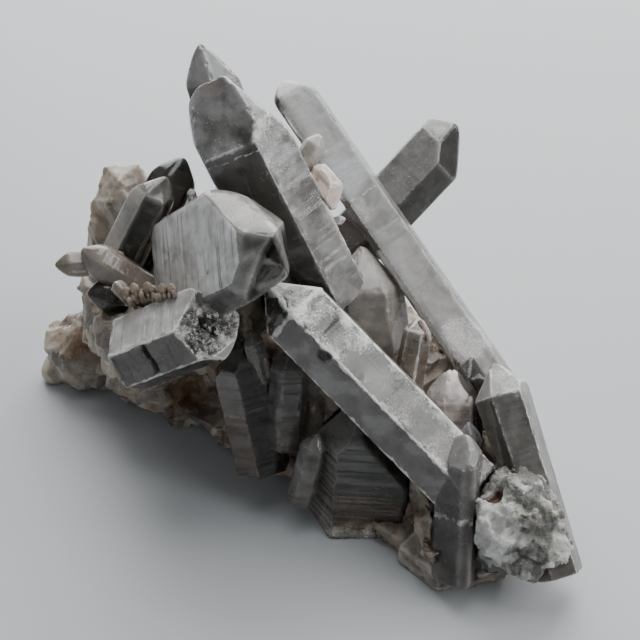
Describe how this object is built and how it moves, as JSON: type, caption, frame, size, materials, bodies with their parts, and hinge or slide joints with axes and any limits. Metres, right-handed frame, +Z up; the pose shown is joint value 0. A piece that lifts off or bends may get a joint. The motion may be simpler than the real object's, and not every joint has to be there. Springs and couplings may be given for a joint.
{
  "type": "smoky quartz crystal cluster",
  "caption": "Hand-sized cluster of long six-sided smoky quartz crystals leaning out of a lump of pale massive quartz with a flat broken underside.",
  "frame": {"origin": "on the flat broken underside, below the middle of the lump", "axes": "+Z up from the underside, +X towards the rough granular end, +Y towards the back of the cluster, -Y towards the side that is seen from the front"},
  "size_m": [0.1178, 0.0966, 0.0803],
  "materials": {
    "striated_crystal_pair": "striated, satin, cloudy inside",
    "tall_front_crystal": "cloudy blue-grey end faces, clear dark smoke in the shaft",
    "capped_crystal": "smooth, milky cap",
    "long_front_crystal": "frosted on top, smooth on the sides",
    "long_rear_crystal": "pale, milky, frosted",
    "right_end_crystal": "smooth, dark, greyish end",
    "tall_rear_crystal": "smooth, pale edges",
    "right_rear_crystal": "smooth, whitish tip",
    "round_tipped_crystals": "smooth, worn round ends",
    "left_end_crystals": "smooth, brown-grey",
    "spear_crystal": "smooth, beige-grey and cloudy",
    "slender_crystal": "clear with a frosted tip",
    "milky_crystal": "milky, pinkish white",
    "squat_crystal": "striated, near black, brownish base",
    "lower_front_crystals": "smooth, dark, brownish base",
    "broken_block": "rough, granular, broken",
    "matrix": "rough massive quartz"
  },
  "bodies": {
    "root": {"striated_crystal_pair": "striated_crystal_pair", "tall_front_crystal": "tall_front_crystal", "capped_crystal": "capped_crystal", "long_front_crystal": "long_front_crystal", "long_rear_crystal": "long_rear_crystal", "right_end_crystal": "right_end_crystal", "tall_rear_crystal": "tall_rear_crystal", "right_rear_crystal": "right_rear_crystal", "round_tipped_crystals": "round_tipped_crystals", "left_end_crystals": "left_end_crystals", "spear_crystal": "spear_crystal", "slender_crystal": "slender_crystal", "milky_crystal": "milky_crystal", "squat_crystal": "squat_crystal", "lower_front_crystals": "lower_front_crystals", "broken_block": "broken_block", "matrix": "matrix"}
  },
  "joints": []
}
